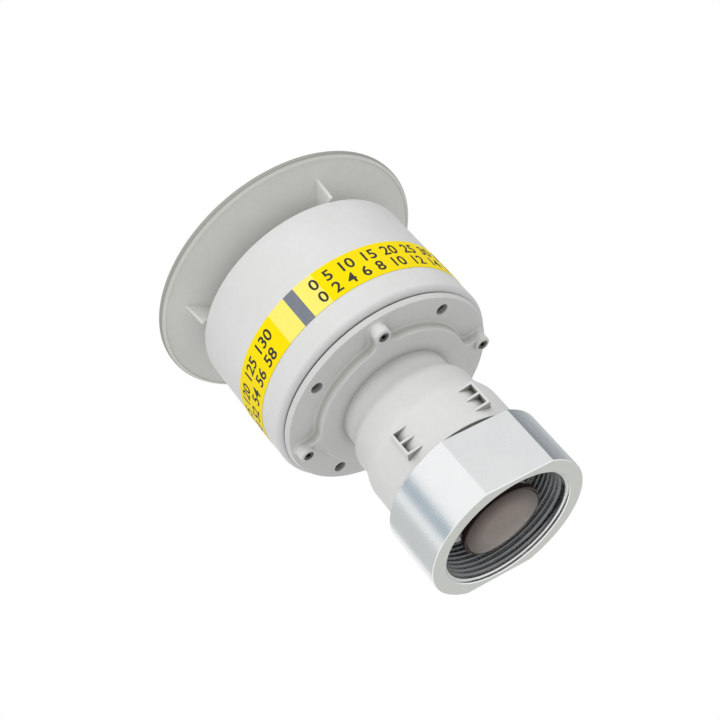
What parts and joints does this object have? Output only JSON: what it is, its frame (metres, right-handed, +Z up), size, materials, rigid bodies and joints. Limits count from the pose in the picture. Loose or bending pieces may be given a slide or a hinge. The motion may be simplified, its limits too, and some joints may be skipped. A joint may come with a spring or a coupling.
{
  "type": "tank breather valve",
  "caption": "Upright pressure and vacuum breather valve for a tank's vent pipe: threaded collar, lobed flange, drum with a weighted pallet, flared rain cap and sprung vacuum poppet.",
  "frame": {"origin": "centre of the collar's bottom face, on the pipe's axis", "axes": "+Z up the pipe's axis towards the cap, -Y towards the front pair of wrench lugs"},
  "size_m": [0.132, 0.132, 0.1756],
  "materials": {
    "collar_aluminium": "machined, dull",
    "grey_plastic": "moulded, satin",
    "cap_plastic": "moulded, satin",
    "white_plastic": "moulded, satin",
    "poppet_plastic": "moulded, matte",
    "yellow_band": "printed film",
    "black_rubber": "matte",
    "brown_rubber": "matte",
    "stainless_steel": "turned",
    "weight_steel": "plated",
    "steel_wire": "drawn wire",
    "brass": "knurled"
  },
  "bodies": {
    "housing": {"threaded_collar": "collar_aluminium", "collar_seal": "black_rubber", "valve_body": "grey_plastic", "flange_gasket": "black_rubber", "drum_housing": "grey_plastic", "rating_band": "yellow_band", "flange_screws": "stainless_steel", "screw_inserts": "brass", "seat_ring": "stainless_steel", "lift_stop": "white_plastic", "insect_screen": "steel_wire", "screen_ring": "white_plastic", "cap_deflector": "cap_plastic", "cap_cover": "cap_plastic"},
    "pressure_group": {"pressure_pallet": "stainless_steel", "pressure_seal": "brown_rubber", "pallet_weight": "weight_steel", "air_tube": "white_plastic", "ring_nut": "stainless_steel", "stem_guide": "white_plastic", "vacuum_spring": "steel_wire"},
    "vacuum_group": {"vacuum_poppet": "poppet_plastic", "vacuum_seal": "brown_rubber", "seal_plate": "stainless_steel", "vacuum_stem": "stainless_steel", "spring_retainer": "stainless_steel", "stem_nut": "stainless_steel"}
  },
  "joints": [
    {"name": "pressure_lift", "type": "slide", "parent": "housing", "child": "pressure_group", "axis": [0, 0, 1], "range_m": [0, 0.008]},
    {"name": "vacuum_drop", "type": "slide", "parent": "pressure_group", "child": "vacuum_group", "axis": [0, 0, -1], "range_m": [0, 0.004], "stiffness_N_per_m": 200, "springref_m": -0.008, "deforming": ["vacuum_spring"]}
  ]
}
